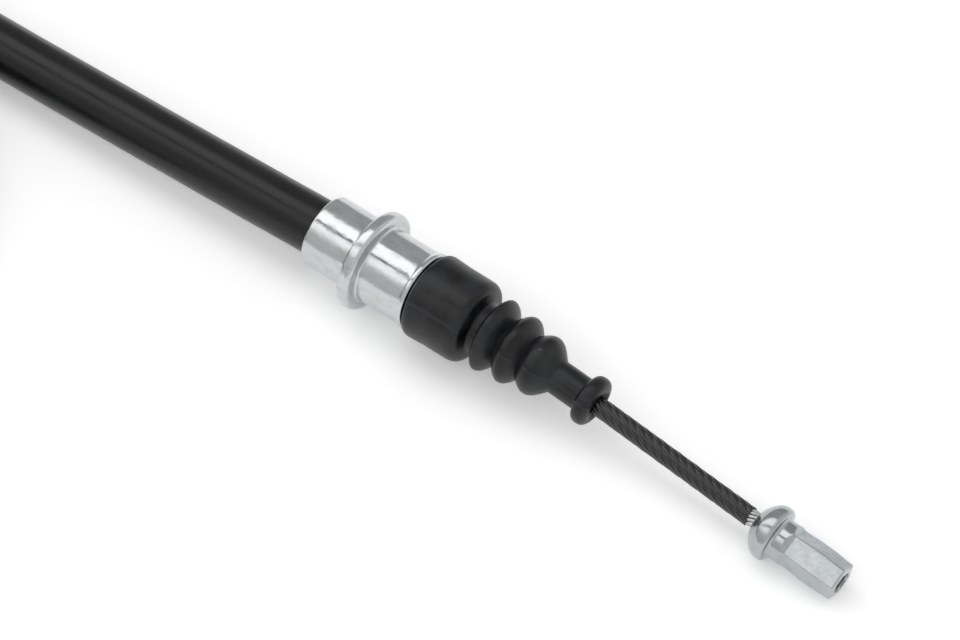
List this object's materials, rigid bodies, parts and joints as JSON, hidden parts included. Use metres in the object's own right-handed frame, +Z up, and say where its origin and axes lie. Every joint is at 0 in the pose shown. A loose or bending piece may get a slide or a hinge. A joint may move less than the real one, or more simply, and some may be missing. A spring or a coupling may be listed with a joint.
{
  "type": "parking brake cable",
  "caption": "Jacketed brake cable with a collared plated ferrule, a bellows boot and a coated sliding wire rope that ends in a domed swaged fitting; spare length folded into a tied hank.",
  "frame": {"origin": "on the floor, under the middle of the near end's own pieces, which reach from the ferrule's rear face to the end of the domed fitting", "axes": "+X along the ferrule towards the domed fitting, +Z up, the hank lies on the -X and -Y side"},
  "size_m": [0.3984, 0.1285, 0.0222],
  "materials": {
    "plated_steel": "bright zinc plate with fine axial drawing lines",
    "forged_steel": "swaged steel, bright plated, softly dented flats",
    "wire": "bright drawn wire",
    "winding": "oiled flat spring steel",
    "jacket": "satin black extruded plastic",
    "coating": "satin black, the wires' lay shows through",
    "boot_rubber": "matt black moulded rubber with a parting line",
    "liner": "smooth off-white plastic",
    "tie_nylon": "satin black nylon"
  },
  "bodies": {
    "conduit": {"ferrule": "plated_steel", "jacket_end": "jacket", "steel_winding": "winding", "liner": "liner", "boot": "boot_rubber", "conduit_lead": "jacket", "conduit_hank": "jacket", "hank_tie_1": "tie_nylon", "hank_tie_2": "tie_nylon", "far_ferrule": "plated_steel", "far_jacket_end": "jacket", "far_steel_winding": "winding", "far_liner": "liner"},
    "inner_wire": {"wire_coating": "coating", "rope_core": "wire", "rope_wire_01": "wire", "rope_wire_02": "wire", "rope_wire_03": "wire", "rope_wire_04": "wire", "rope_wire_05": "wire", "rope_wire_06": "wire", "rope_wire_07": "wire", "rope_wire_08": "wire", "rope_wire_09": "wire", "rope_wire_10": "wire", "rope_wire_11": "wire", "rope_wire_12": "wire", "end_fitting": "forged_steel"},
    "far_inner_wire": {"far_wire_coating": "coating", "far_wire_rope": "wire", "far_end_fitting": "forged_steel"}
  },
  "joints": [
    {"name": "wire_slide", "type": "slide", "parent": "conduit", "child": "inner_wire", "axis": [1, 0, 0], "range_m": [-0.008, 0.012], "deforming": ["boot"]},
    {"name": "far_wire_slide", "type": "slide", "parent": "conduit", "child": "far_inner_wire", "axis": [1, 0, 0], "range_m": [-0.012, 0.008]}
  ],
  "couplings": [
    {"joint": "far_wire_slide", "follows": "wire_slide", "ratio": -1}
  ]
}
